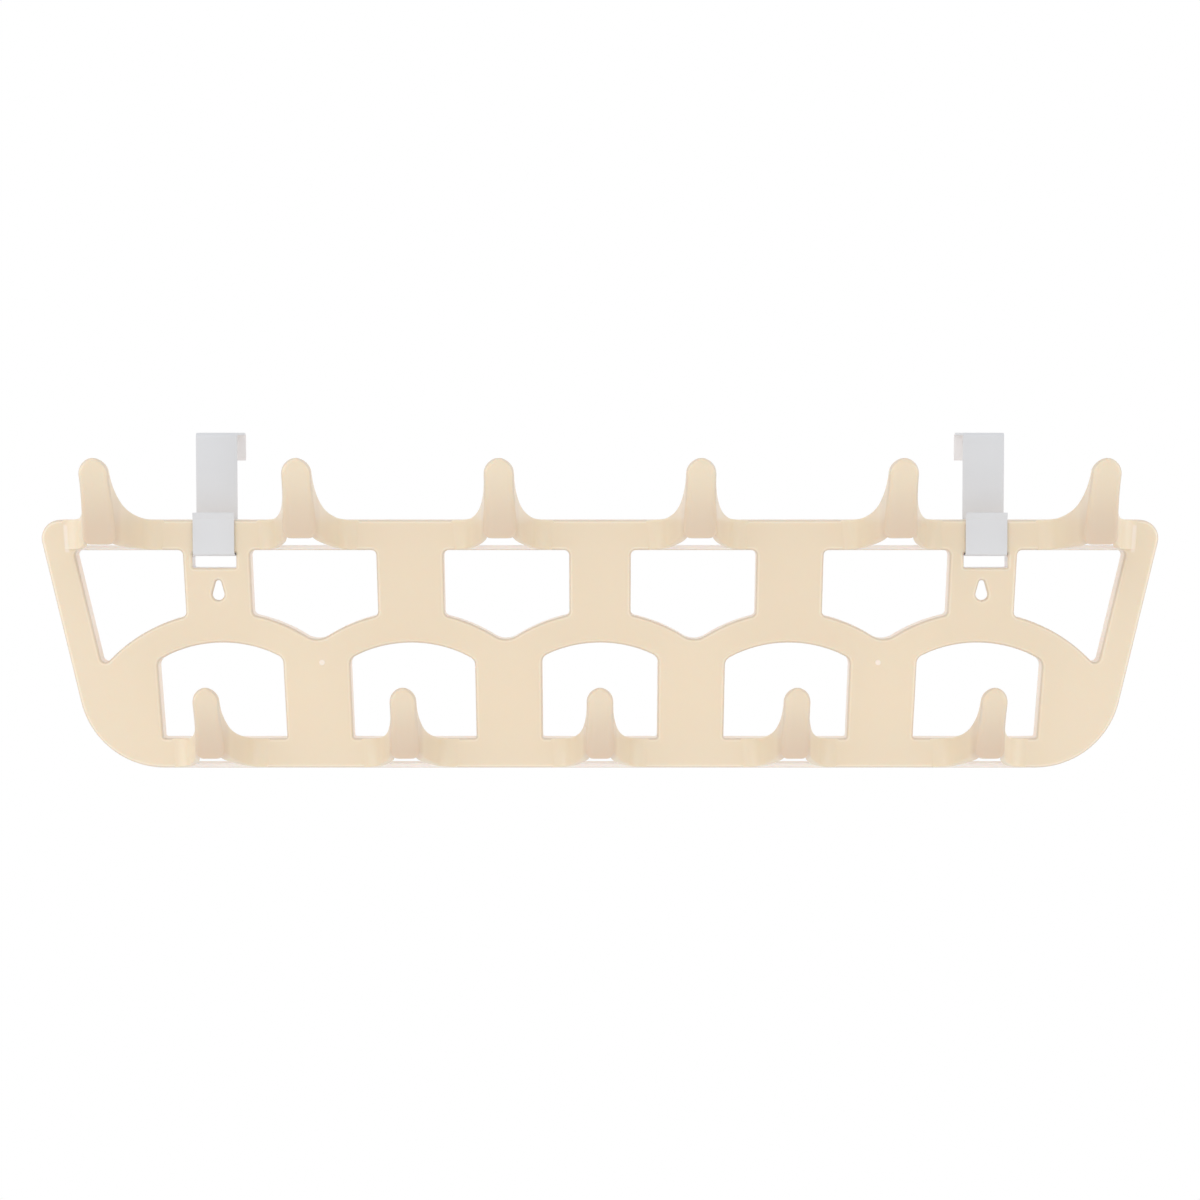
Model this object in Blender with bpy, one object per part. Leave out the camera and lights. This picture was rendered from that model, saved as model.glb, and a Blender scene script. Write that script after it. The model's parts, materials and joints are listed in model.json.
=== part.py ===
"""Over-door hook rack: one moulded rack with eleven hooks, hung on two bent metal straps.

The rack is an open-backed plastic shell: a front wall, skirts turned back round its outline and
round every window, and hollow hooks that grow out of its two rails. Each strap goes over the
door's top edge, down behind the rack, forward through a slot and up in front as a J.

Frame: X to the right, the front faces -Y, +Z up. X = 0 is the middle of the rack, Y = 0 is the
door's front face and Z = 0 is the door's top edge. All sizes are in metres.
"""
import math

import bmesh
import bpy
from mathutils import Vector
from mathutils.geometry import interpolate_bezier

# Rack outline
RACK_DROP = 0.0407
RACK_HEIGHT = 0.1200
RACK_TOP_HALF_WIDTH = 0.2716
SIDE_SLOPE_SHARE = 0.2340
TOP_CORNER_RADIUS = 0.0089
LOWER_CORNER_RADIUS = 0.0414

# Rack shell
RACK_DEPTH = 0.0120
FRONT_WALL = 0.0023
SKIRT = 0.0020
EDGE_ROUND = 0.0020
UPPER_RAIL_HEIGHT = 0.0146
LOWER_RAIL_HEIGHT = 0.0144
SIDE_BAND_WIDTH = 0.01465

# Layout across the rack: shares of its half width, at the top edge, drawn in further down
UPPER_HOOKS = 6
LOWER_HOOKS = 5
HOOK_PITCH_SHARE = 0.34536
LOWER_HOOK_PITCH_SHARE = 0.33745
ARCH_PITCH_SHARE = 0.33542
INNER_POST_SHARE = 0.33910
OUTER_POST_SHARE = 0.68409
LOWER_INNER_POST_SHARE = 0.16532
LOWER_OUTER_POST_SHARE = 0.51215
LOWER_WINDOW_END_SHARE = 0.79934
STRAP_PLACE_SHARE = 0.68483
KEYHOLE_PLACE_SHARE = 0.67784
NARROWING_SHARE = 0.0312
CENTRE_POST_WIDTH = 0.0299
UPPER_POST_WIDTH = 0.0326
LOWER_POST_WIDTH = 0.0330

# Layout down the rack: shares of its height
SLOT_DROP_SHARE = 0.13250
KEYHOLE_HEAD_DROP_SHARE = 0.29917
ARCH_INNER_RADIUS_SHARE = 0.50583

# Arches over the lower windows
ARCH_BAND_WIDTH = 0.0149
VALLEY_RADIUS = 0.0100
UPPER_WINDOW_CORNER_RADIUS = 0.0025
LOWER_WINDOW_TOP_RADIUS = 0.0043
LOWER_WINDOW_FOOT_RADIUS = 0.0010

# Straps
STRAP_WIDTH = 0.0200
STRAP_THICKNESS = 0.0012
STRAP_BEND_RADIUS = 0.0016
DOOR_THICKNESS = 0.0356
REAR_TAB_LENGTH = 0.0126
FIT_GAP = 0.0003
J_PLAY = 0.0010
J_PLATE_HEIGHT = 0.0209
J_LIP_HEIGHT = 0.0028
J_LIP_FLARE = 0.0009

# Strap slots and keyholes
SLOT_HEIGHT = 0.0072
SLOT_SIDE_PLAY = 0.0005
SLOT_CORNER_RADIUS = 0.0008
KEYHOLE_HEAD_RADIUS = 0.0028
KEYHOLE_NECK_RADIUS = 0.00135
KEYHOLE_REACH = 0.0054

# Hooks shared by both rails
HOOK_REACH = 0.0570
HOOK_NOSE_REACH = 0.0415
HOOK_WALL = 0.0020
HOOK_TUCK = 0.0001
ROOT_FILLET = 0.0070
SADDLE_CORNER = 0.0012
FINGER_CORNER = 0.0024
HOLLOW_CORNER = 0.0004
FINGER_THICKNESS = 0.0060
FINGER_ANGLE_DEGREES = 58
FLARE_POWER_SHARE = 1.8
SADDLE_LEAN_SHARE = 0.40
SADDLE_POWER_SHARE = 3.0
SADDLE_END_REACH_SHARE = 0.905
SADDLE_END_RISE_SHARE = 0.82
TIP_ROUNDNESS_SHARE = 1.3
NOSE_RING_SHARE = 0.70
NOSE_LEAN_SHARE = 0.10
NOSE_LIFT_SHARE = 0.37
FINGER_RUN_SHARE = 0.36
HOLLOW_START = 0.0003
DOORWAY_INSET = 0.0003

# Hooks on the upper rail
UPPER_HOOK_ROOT_HALF_WIDTH = 0.0178
UPPER_FINGER_HALF_WIDTH = 0.0070
UPPER_HOOK_RISE = 0.0302
UPPER_FLARE_LENGTH = 0.0540
UPPER_UNDERSIDE_RISE = 0.0075
END_UNDERSIDE_RISE = 0.0044

# Hooks on the lower rail
LOWER_HOOK_ROOT_HALF_WIDTH = 0.0168
LOWER_FINGER_HALF_WIDTH = 0.0062
LOWER_HOOK_RISE = 0.0293
LOWER_FLARE_LENGTH = 0.0520
LOWER_UNDERSIDE_RISE = 0.0092

# How finely curves are drawn
CORNER_STEPS = 3
BIG_CORNER_STEPS = 7
ARCH_STEPS = 6
ROUND_STEPS = 3
BEND_STEPS = 5
HOOK_CORNER_STEPS = 2
HOLLOW_CORNER_STEPS = 1
ARM_RINGS = 5
FINGER_RINGS = 4
HOLLOW_RINGS = 5
FILLET_SHARES = (0.10, 0.40)
HOLLOW_FILLET_SHARE = 0.40
TIP_ANGLES_DEGREES = (28, 54, 76)
SHARP_ANGLE_DEGREES = 35
CUT_OVERRUN = 0.0020

# Places that follow from the sizes
HOOK_PITCH = RACK_TOP_HALF_WIDTH * HOOK_PITCH_SHARE
LOWER_HOOK_PITCH = RACK_TOP_HALF_WIDTH * LOWER_HOOK_PITCH_SHARE
ARCH_PITCH = RACK_TOP_HALF_WIDTH * ARCH_PITCH_SHARE
INNER_POST_PLACE = RACK_TOP_HALF_WIDTH * INNER_POST_SHARE
OUTER_POST_PLACE = RACK_TOP_HALF_WIDTH * OUTER_POST_SHARE
LOWER_INNER_POST_PLACE = RACK_TOP_HALF_WIDTH * LOWER_INNER_POST_SHARE
LOWER_OUTER_POST_PLACE = RACK_TOP_HALF_WIDTH * LOWER_OUTER_POST_SHARE
LOWER_WINDOW_END_PLACE = RACK_TOP_HALF_WIDTH * LOWER_WINDOW_END_SHARE
STRAP_PLACE = RACK_TOP_HALF_WIDTH * STRAP_PLACE_SHARE
KEYHOLE_PLACE = RACK_TOP_HALF_WIDTH * KEYHOLE_PLACE_SHARE
SLOT_DROP = RACK_HEIGHT * SLOT_DROP_SHARE
KEYHOLE_HEAD_DROP = RACK_HEIGHT * KEYHOLE_HEAD_DROP_SHARE
ARCH_INNER_RADIUS = RACK_HEIGHT * ARCH_INNER_RADIUS_SHARE
BACK_Y = -(STRAP_THICKNESS + FIT_GAP)
FRONT_Y = BACK_Y - RACK_DEPTH
TOP_Z = -RACK_DROP
BOTTOM_Z = TOP_Z - RACK_HEIGHT
UPPER_WINDOW_TOP_Z = TOP_Z - UPPER_RAIL_HEIGHT
LOWER_RAIL_TOP_Z = BOTTOM_Z + LOWER_RAIL_HEIGHT
ARCH_OUTER_RADIUS = ARCH_INNER_RADIUS + ARCH_BAND_WIDTH


def clear_scene():
    for item in list(bpy.data.objects):
        bpy.data.objects.remove(item, do_unlink=True)


def plastic(name, colour, roughness):
    material = bpy.data.materials.new(name)
    material.use_nodes = True
    shader = material.node_tree.nodes["Principled BSDF"]
    shader.inputs["Base Color"].default_value = (*colour, 1.0)
    shader.inputs["Roughness"].default_value = roughness
    shader.inputs["Metallic"].default_value = 0.0
    return material


# Outlines: corners are (x, z, radius), and an outline is a list of 2-D points

def arc(centre_x, centre_z, radius, start, end, steps):
    """Corners without a radius along a circle, from angle start to angle end."""
    corners = []
    for step in range(steps + 1):
        angle = start + (end - start) * step / steps
        corners.append((centre_x + radius * math.cos(angle), centre_z + radius * math.sin(angle), 0.0))
    return corners


def rounded(corners, steps=CORNER_STEPS, closed=True):
    """Points through the corners, each corner with a radius turned into an arc."""
    points = []
    count = len(corners)
    for index, (x, z, radius) in enumerate(corners):
        corner = Vector((x, z))
        at_end = not closed and index in (0, count - 1)
        if radius == 0.0 or at_end:
            points.append(corner)
            continue
        before = (Vector(corners[index - 1][:2]) - corner).normalized()
        after = (Vector(corners[(index + 1) % count][:2]) - corner).normalized()
        half_angle = before.angle(after) / 2
        centre = corner + (before + after).normalized() * radius / math.sin(half_angle)
        run = radius / math.tan(half_angle)
        first = corner + before * run - centre
        last = corner + after * run - centre
        turn = first.angle_signed(last)
        for step in range(steps + 1):
            angle = -turn * step / steps
            cosine, sine = math.cos(angle), math.sin(angle)
            spoke = Vector((first.x * cosine - first.y * sine, first.x * sine + first.y * cosine))
            points.append(centre + spoke)
    return points


def grown(points, distance):
    """The closed outline moved outwards by a distance, or inwards where it is negative."""
    area = sum(a.cross(b) for a, b in zip(points, points[1:] + points[:1]))
    side = 1.0 if area > 0 else -1.0
    moved = []
    for index, point in enumerate(points):
        into = (point - points[index - 1]).normalized()
        out_of = (points[(index + 1) % len(points)] - point).normalized()
        normal_in = Vector((into.y, -into.x)) * side
        normal_out = Vector((out_of.y, -out_of.x)) * side
        mitre = (normal_in + normal_out).normalized()
        moved.append(point + mitre * distance / mitre.dot(normal_in))
    return moved


def mirrored(points):
    return [Vector((-point.x, point.y)) for point in reversed(points)]


def narrowed(x, z):
    """A place across the rack, drawn in towards the middle as the layout narrows downwards."""
    return x * (1 - NARROWING_SHARE * (TOP_Z - z) / RACK_HEIGHT)


def mixed(first, second, share):
    return first + (second - first) * share


def side_x(z):
    """The straight side of the rack at a height."""
    return RACK_TOP_HALF_WIDTH - SIDE_SLOPE_SHARE * (TOP_Z - z)


def arch_z(x, centre_x, radius):
    return BOTTOM_Z + math.sqrt(radius ** 2 - (x - centre_x) ** 2)


# Meshes

def new_object(name, mesh_builder):
    mesh = bpy.data.meshes.new(name)
    bmesh.ops.recalc_face_normals(mesh_builder, faces=mesh_builder.faces)
    mesh_builder.to_mesh(mesh)
    mesh_builder.free()
    item = bpy.data.objects.new(name, mesh)
    bpy.context.collection.objects.link(item)
    return item


def add_loft(builder, rings):
    """A closed solid through rings of as many points each."""
    rows = [[builder.verts.new(point) for point in ring] for ring in rings]
    count = len(rows[0])
    for row, following in zip(rows, rows[1:]):
        for index in range(count):
            beside = (index + 1) % count
            builder.faces.new((row[index], row[beside], following[beside], following[index]))
    builder.faces.new(list(reversed(rows[0])))
    builder.faces.new(rows[-1])


def add_prism(builder, points, stations):
    """A solid along Y: each station is a place on Y and how much the outline has grown there."""
    rings = []
    for y, growth in stations:
        outline = grown(points, growth) if growth else points
        rings.append([(point.x, y, point.y) for point in outline])
    add_loft(builder, rings)


def solid(name, additions):
    """One object from a list of functions that each add a closed body."""
    builder = bmesh.new()
    for add in additions:
        add(builder)
    return new_object(name, builder)


def cut(target, cutter, operation="DIFFERENCE"):
    """Applies a Boolean with the exact solver and removes the cutter."""
    cutter.hide_render = True
    cutter.display_type = "WIRE"
    modifier = target.modifiers.new(cutter.name, "BOOLEAN")
    modifier.operation = operation
    modifier.solver = "EXACT"
    modifier.object = cutter
    depsgraph = bpy.context.evaluated_depsgraph_get()
    result = bpy.data.meshes.new_from_object(target.evaluated_get(depsgraph))
    target.modifiers.clear()
    target.data = result
    bpy.data.objects.remove(cutter, do_unlink=True)


# Rack outline and windows

def rack_outline():
    top_x = side_x(TOP_Z)
    bottom_x = side_x(BOTTOM_Z)
    right = [(top_x, TOP_Z, TOP_CORNER_RADIUS), (bottom_x, BOTTOM_Z, LOWER_CORNER_RADIUS)]
    left = [(-x, z, radius) for x, z, radius in reversed(right)]
    return rounded(right + left, BIG_CORNER_STEPS)


def upper_window(left_place, right_place, left_arch, right_arch):
    """A window between two posts, with a filleted valley between two arches below it."""
    top = UPPER_WINDOW_TOP_Z
    radius = ARCH_OUTER_RADIUS
    arch_top = BOTTOM_Z + radius
    left_foot = narrowed(left_place, arch_top)
    right_foot = narrowed(right_place, arch_top)
    half = (right_arch - left_arch) / 2
    middle = left_arch + half
    valley_z = BOTTOM_Z + math.sqrt((radius + VALLEY_RADIUS) ** 2 - half ** 2)
    lean = math.atan2(valley_z - BOTTOM_Z, half)
    right_start = math.acos((right_foot - right_arch) / radius)
    left_start = math.acos((left_foot - left_arch) / radius)
    corner = UPPER_WINDOW_CORNER_RADIUS
    corners = [(narrowed(left_place, top), top, corner), (narrowed(right_place, top), top, corner)]
    corners.append((right_foot, arch_z(right_foot, right_arch, radius), corner))
    corners += arc(right_arch, BOTTOM_Z, radius, right_start, math.pi - lean, ARCH_STEPS)[1:-1]
    corners += arc(middle, valley_z, VALLEY_RADIUS, -lean, lean - math.pi, CORNER_STEPS)
    corners += arc(left_arch, BOTTOM_Z, radius, lean, left_start, ARCH_STEPS)[1:-1]
    corners.append((left_foot, arch_z(left_foot, left_arch, radius), corner))
    return rounded(corners)


def end_window():
    """The slanted window beside the rack's end, over the last arch."""
    top = UPPER_WINDOW_TOP_Z
    radius = ARCH_OUTER_RADIUS
    arch = 2 * ARCH_PITCH
    place = OUTER_POST_PLACE + UPPER_POST_WIDTH / 2
    foot = narrowed(place, BOTTOM_Z + radius)
    slope = SIDE_SLOPE_SHARE
    offset = side_x(BOTTOM_Z) - SIDE_BAND_WIDTH - arch
    root = math.sqrt((slope * offset) ** 2 - (1 + slope ** 2) * (offset ** 2 - radius ** 2))
    height = (root - slope * offset) / (1 + slope ** 2)
    tip_angle = math.atan2(height, offset + slope * height)
    corner = UPPER_WINDOW_CORNER_RADIUS
    corners = [(narrowed(place, top), top, corner), (side_x(top) - SIDE_BAND_WIDTH, top, corner)]
    corners.append((arch + radius * math.cos(tip_angle), BOTTOM_Z + height, corner))
    foot_angle = math.acos((foot - arch) / radius)
    corners += arc(arch, BOTTOM_Z, radius, tip_angle, foot_angle, ARCH_STEPS)[1:-1]
    corners.append((foot, arch_z(foot, arch, radius), corner))
    return rounded(corners)


def lower_window(left_place, right_place, arch):
    """A window under an arch, standing on the lower rail."""
    foot = LOWER_RAIL_TOP_Z
    radius = ARCH_INNER_RADIUS
    spring = BOTTOM_Z + radius
    left_top = narrowed(left_place, spring)
    right_top = narrowed(right_place, spring)
    right_angle = math.acos((right_top - arch) / radius)
    left_angle = math.acos((left_top - arch) / radius)
    top_radius = LOWER_WINDOW_TOP_RADIUS
    foot_radius = LOWER_WINDOW_FOOT_RADIUS
    corners = [(right_top, arch_z(right_top, arch, radius), top_radius)]
    corners.append((narrowed(right_place, foot), foot, foot_radius))
    corners.append((narrowed(left_place, foot), foot, foot_radius))
    corners.append((left_top, arch_z(left_top, arch, radius), top_radius))
    corners += arc(arch, BOTTOM_Z, radius, left_angle, right_angle, ARCH_STEPS)[1:-1]
    return rounded(corners)


def window_outlines():
    inner_post = (INNER_POST_PLACE - UPPER_POST_WIDTH / 2, INNER_POST_PLACE + UPPER_POST_WIDTH / 2)
    outer_post = OUTER_POST_PLACE - UPPER_POST_WIDTH / 2
    low_inner = (LOWER_INNER_POST_PLACE - LOWER_POST_WIDTH / 2, LOWER_INNER_POST_PLACE + LOWER_POST_WIDTH / 2)
    low_outer = (LOWER_OUTER_POST_PLACE - LOWER_POST_WIDTH / 2, LOWER_OUTER_POST_PLACE + LOWER_POST_WIDTH / 2)
    right_half = [
        upper_window(CENTRE_POST_WIDTH / 2, inner_post[0], 0.0, ARCH_PITCH),
        upper_window(inner_post[1], outer_post, ARCH_PITCH, 2 * ARCH_PITCH),
        end_window(),
        lower_window(low_inner[1], low_outer[0], ARCH_PITCH),
        lower_window(low_outer[1], LOWER_WINDOW_END_PLACE, 2 * ARCH_PITCH),
    ]
    middle = lower_window(-low_inner[0], low_inner[0], 0.0)
    return right_half + [mirrored(outline) for outline in right_half] + [middle]


# Slots and keyholes

def slot_outline(side):
    centre = side * STRAP_PLACE
    half = STRAP_WIDTH / 2 + SLOT_SIDE_PLAY
    top = TOP_Z - SLOT_DROP
    bottom = top - SLOT_HEIGHT
    radius = SLOT_CORNER_RADIUS
    corners = [(centre + half, top, radius), (centre + half, bottom, radius)]
    corners += [(centre - half, bottom, radius), (centre - half, top, radius)]
    return rounded(corners)


def slot_surround(side):
    """The walls round a strap slot: as wide as its post, ending inside the post's two skirts."""
    top = TOP_Z - SLOT_DROP + SKIRT
    bottom = top - SLOT_HEIGHT - 2 * SKIRT
    inner = narrowed(OUTER_POST_PLACE - UPPER_POST_WIDTH / 2, bottom) + SKIRT / 2
    outer = narrowed(OUTER_POST_PLACE + UPPER_POST_WIDTH / 2, bottom) - SKIRT / 2
    corners = [(inner, top), (inner, bottom), (outer, bottom), (outer, top)]
    return [Vector((side * x, z)) for x, z in corners]


def keyhole_outline(side):
    """A teardrop: a screw head's hole below, closing to a neck above."""
    centre = side * KEYHOLE_PLACE
    head_z = TOP_Z - KEYHOLE_HEAD_DROP
    neck_z = head_z + KEYHOLE_REACH
    lean = math.asin((KEYHOLE_HEAD_RADIUS - KEYHOLE_NECK_RADIUS) / KEYHOLE_REACH)
    corners = arc(centre, head_z, KEYHOLE_HEAD_RADIUS, lean, -math.pi - lean, 2 * BIG_CORNER_STEPS)
    corners += arc(centre, neck_z, KEYHOLE_NECK_RADIUS, math.pi - lean, lean, 2 * CORNER_STEPS)
    return rounded(corners)


# Hooks: a point on the arm is (reach in front of the rack, height over the rail's top)

class Hook:
    """One hook's place and sizes; the arm is drawn about reach and height, then set in place."""

    def __init__(self, x, rail_top_z, rail_height, rise, root_half, finger_half, flare, underside_rise):
        self.x = x
        self.rail_top_z = rail_top_z
        self.rail_height = rail_height
        self.rise = rise
        self.root_half = root_half
        self.finger_half = finger_half
        self.flare = flare
        self.underside_rise = underside_rise

    def half_width(self, reach):
        """The plan: a hollow curve from the wide root to the narrow finger."""
        share = min(max(reach / self.flare, 0.0), 1.0)
        return mixed(self.finger_half, self.root_half, (1 - share) ** FLARE_POWER_SHARE)

    def root_flare(self, reach, wall):
        """How far the fillet at the rack's face widens the root, outside or a wall inside it."""
        left = min(max(ROOT_FILLET - reach, 0.0), ROOT_FILLET)
        radius = ROOT_FILLET + wall
        return radius - math.sqrt(radius ** 2 - left ** 2)

    def saddle(self, share):
        """The top of the arm, gentle at the root and steep at the finger."""
        reach = HOOK_REACH * SADDLE_END_REACH_SHARE * share
        bend = mixed(share ** SADDLE_POWER_SHARE, share, SADDLE_LEAN_SHARE)
        return Vector((reach, self.rise * SADDLE_END_RISE_SHARE * bend))

    def saddle_slope(self, share):
        bend = mixed(SADDLE_POWER_SHARE * share ** (SADDLE_POWER_SHARE - 1), 1.0, SADDLE_LEAN_SHARE)
        end = self.saddle(1.0)
        return bend * end.y / end.x

    def nose(self):
        return Vector((HOOK_NOSE_REACH, self.underside_rise - self.rail_height))

    def finger_direction(self):
        angle = math.radians(FINGER_ANGLE_DEGREES)
        return Vector((math.cos(angle), math.sin(angle)))

    def finger_front(self):
        """The front of the finger, from the nose up to the start of the rounded tip."""
        along = self.finger_direction()
        end = self.saddle(1.0) + Vector((along.y, -along.x)) * FINGER_THICKNESS
        nose = self.nose()
        lean = end - nose
        first = Vector((nose.x + lean.x * NOSE_LEAN_SHARE, nose.y + lean.y * NOSE_LIFT_SHARE))
        second = end - along * lean.length * FINGER_RUN_SHARE
        return interpolate_bezier(nose, first, second, end, FINGER_RINGS + 1)

    def place(self, x, point):
        return (self.x + x, FRONT_Y - point.x, self.rail_top_z + point.y)

    def ring(self, top, bottom, corners, steps, width_share=1.0, wall=0.0):
        """A rounded box section between a point on the saddle and one on the underside."""
        middle = (top + bottom) / 2
        half = (top - bottom) / 2
        height = half.length
        points = []
        for quarter, (side, up) in enumerate(((1, 1), (-1, 1), (-1, -1), (1, -1))):
            radius = min(corners[0] if up > 0 else corners[1], height)
            for step in range(steps + 1):
                angle = math.pi / 2 * (quarter + step / steps)
                level = up * (height - radius) + radius * math.sin(angle)
                point = middle + half * level / height
                width = self.half_width(point.x) + self.root_flare(point.x, wall) - wall
                across = side * (width * width_share - radius) + radius * math.cos(angle)
                points.append(self.place(across, point))
        return points

    def add_body(self, builder):
        root_foot = Vector((-(EDGE_ROUND + HOOK_TUCK), HOOK_TUCK - self.rail_height))
        nose = self.nose()
        arm_end = self.saddle(NOSE_RING_SHARE)
        reaches = [root_foot.x, -HOOK_TUCK] + [ROOT_FILLET * share for share in FILLET_SHARES]
        reaches += [mixed(ROOT_FILLET, arm_end.x, index / ARM_RINGS) for index in range(ARM_RINGS + 1)]
        rings = []
        for reach in reaches:
            top = self.saddle(max(reach, 0.0) / (HOOK_REACH * SADDLE_END_REACH_SHARE))
            top = Vector((reach, top.y - HOOK_TUCK * (1 - min(max(reach, 0.0) / ROOT_FILLET, 1.0))))
            share = (reach - root_foot.x) / (arm_end.x - root_foot.x)
            corners = (SADDLE_CORNER, mixed(HOLLOW_CORNER, FINGER_CORNER, share))
            rings.append(self.ring(top, root_foot.lerp(nose, share), corners, HOOK_CORNER_STEPS))
        front = self.finger_front()
        for index in range(1, FINGER_RINGS + 1):
            share = index / FINGER_RINGS
            top = self.saddle(mixed(NOSE_RING_SHARE, 1.0, share))
            corners = (mixed(SADDLE_CORNER, FINGER_CORNER, share), FINGER_CORNER)
            rings.append(self.ring(top, front[index], corners, HOOK_CORNER_STEPS))
        self.add_tip(rings, self.saddle(1.0), front[-1])
        add_loft(builder, rings)

    def add_tip(self, rings, top, foot):
        """Rings that close over the end of the finger as half an ellipsoid."""
        middle = (top + foot) / 2
        half = (top - foot) / 2
        along = self.finger_direction()
        length = (self.rise - middle.y) / along.y
        for degrees in TIP_ANGLES_DEGREES:
            angle = math.radians(degrees)
            share = math.cos(angle)
            centre = middle + along * length * math.sin(angle)
            corners = (FINGER_CORNER * share, FINGER_CORNER * share)
            rings.append(self.ring(centre + half * share, centre - half * share, corners,
                                   HOOK_CORNER_STEPS, share ** TIP_ROUNDNESS_SHARE))

    def add_hollow(self, builder):
        """The space under the saddle, open below, inside walls of even thickness."""
        end = HOOK_NOSE_REACH - HOOK_WALL
        foot_height = -self.rail_height - CUT_OVERRUN
        corners = (HOLLOW_CORNER, HOLLOW_CORNER)
        reaches = [HOLLOW_START, ROOT_FILLET * HOLLOW_FILLET_SHARE]
        reaches += [mixed(ROOT_FILLET, end, index / HOLLOW_RINGS) for index in range(HOLLOW_RINGS + 1)]
        rings = []
        for reach in reaches:
            share = reach / (HOOK_REACH * SADDLE_END_REACH_SHARE)
            steepness = math.hypot(1.0, self.saddle_slope(share))
            ceiling = Vector((reach, self.saddle(share).y - HOOK_WALL * steepness))
            foot = Vector((reach, foot_height))
            rings.append(self.ring(ceiling, foot, corners, HOLLOW_CORNER_STEPS, wall=HOOK_WALL))
        add_loft(builder, rings)

    def add_doorway(self, builder):
        """The opening through the rack's front wall, between the rail's two skirts."""
        half = self.root_half - HOOK_WALL
        margin = SKIRT + DOORWAY_INSET
        top = self.rail_top_z - margin
        bottom = self.rail_top_z - self.rail_height + margin
        corners = [(self.x + half, top), (self.x + half, bottom), (self.x - half, bottom), (self.x - half, top)]
        points = [Vector(corner) for corner in corners]
        back = FRONT_Y + FRONT_WALL + CUT_OVERRUN
        front = FRONT_Y - 2 * HOLLOW_START
        add_prism(builder, points, [(back, 0.0), (front, 0.0)])


def all_hooks():
    hooks = []
    for number in range(UPPER_HOOKS):
        at_end = number in (0, UPPER_HOOKS - 1)
        rise = END_UNDERSIDE_RISE if at_end else UPPER_UNDERSIDE_RISE
        x = (number - (UPPER_HOOKS - 1) / 2) * HOOK_PITCH
        hooks.append(Hook(x, TOP_Z, UPPER_RAIL_HEIGHT, UPPER_HOOK_RISE,
                          UPPER_HOOK_ROOT_HALF_WIDTH, UPPER_FINGER_HALF_WIDTH, UPPER_FLARE_LENGTH, rise))
    for number in range(LOWER_HOOKS):
        x = (number - (LOWER_HOOKS - 1) / 2) * LOWER_HOOK_PITCH
        hooks.append(Hook(x, LOWER_RAIL_TOP_Z, LOWER_RAIL_HEIGHT, LOWER_HOOK_RISE,
                          LOWER_HOOK_ROOT_HALF_WIDTH, LOWER_FINGER_HALF_WIDTH, LOWER_FLARE_LENGTH,
                          LOWER_UNDERSIDE_RISE))
    return hooks


# The rack

def rounding(direction):
    """Stations that round a front edge: the outline draws in (-1) or flares out (+1)."""
    stations = []
    for step in range(ROUND_STEPS + 1):
        angle = math.pi / 2 * step / ROUND_STEPS
        y = FRONT_Y + EDGE_ROUND * (1 - math.sin(angle))
        stations.append((y, direction * EDGE_ROUND * (1 - math.cos(angle))))
    return stations


def through_stations():
    """Stations of a cutter that passes right through and flares at the front edge."""
    flared = rounding(1)
    return [(BACK_Y + CUT_OVERRUN, 0.0)] + flared + [(FRONT_Y - CUT_OVERRUN, flared[-1][1])]


def prisms(outlines, stations):
    return [lambda builder, points=points: add_prism(builder, points, stations) for points in outlines]


def build_cavity(outline, windows):
    """The space behind the front wall: the outline less its skirt and the skirts of every window."""
    inside = [(BACK_Y + CUT_OVERRUN, -SKIRT), (FRONT_Y + FRONT_WALL, -SKIRT)]
    island = [(BACK_Y + 2 * CUT_OVERRUN, SKIRT), (FRONT_Y, SKIRT)]
    block = [(BACK_Y + 2 * CUT_OVERRUN, 0.0), (FRONT_Y, 0.0)]
    cavity = solid("cavity", prisms([outline], inside))
    cut(cavity, solid("window_skirts", prisms(windows, island)))
    surrounds = [slot_surround(side) for side in (-1, 1)]
    cut(cavity, solid("slot_surrounds", prisms(surrounds, block)))
    return cavity


def build_rack(material):
    outline = rack_outline()
    windows = window_outlines()
    blank_stations = [(BACK_Y, 0.0)] + rounding(-1)
    rack = solid("rack_moulding", prisms([outline], blank_stations))
    slots = [slot_outline(side) for side in (-1, 1)]
    keyholes = [keyhole_outline(side) for side in (-1, 1)]
    cut(rack, build_cavity(outline, windows))
    cut(rack, solid("window_openings", prisms(windows, through_stations())))
    cut(rack, solid("slots_and_keyholes", prisms(slots + keyholes, through_stations())))
    hooks = all_hooks()
    cut(rack, solid("hook_bodies", [hook.add_body for hook in hooks]), "UNION")
    cut(rack, solid("hook_hollows", [hook.add_hollow for hook in hooks]))
    cut(rack, solid("hook_doorways", [hook.add_doorway for hook in hooks]))
    rack.data.materials.clear()
    rack.data.materials.append(material)
    rack.data.shade_smooth()
    rack.data.set_sharp_from_angle(angle=math.radians(SHARP_ANGLE_DEGREES))
    return rack


# The straps

def strap_path():
    """Middle line of the strip in the YZ plane, from the rear tab over the door to the J's lip."""
    half = STRAP_THICKNESS / 2
    bend = STRAP_BEND_RADIUS
    foot = TOP_Z - SLOT_DROP - FIT_GAP - half
    plate_y = FRONT_Y - (J_PLAY - FIT_GAP) - half
    lip_z = foot + J_PLATE_HEIGHT - half
    return [
        (DOOR_THICKNESS + half, -REAR_TAB_LENGTH, 0.0),
        (DOOR_THICKNESS + half, half, bend),
        (-half, half, bend),
        (-half, foot, bend),
        (plate_y, foot, bend),
        (plate_y, lip_z - J_LIP_HEIGHT, bend),
        (plate_y - J_LIP_FLARE, lip_z, 0.0),
    ]


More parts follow.
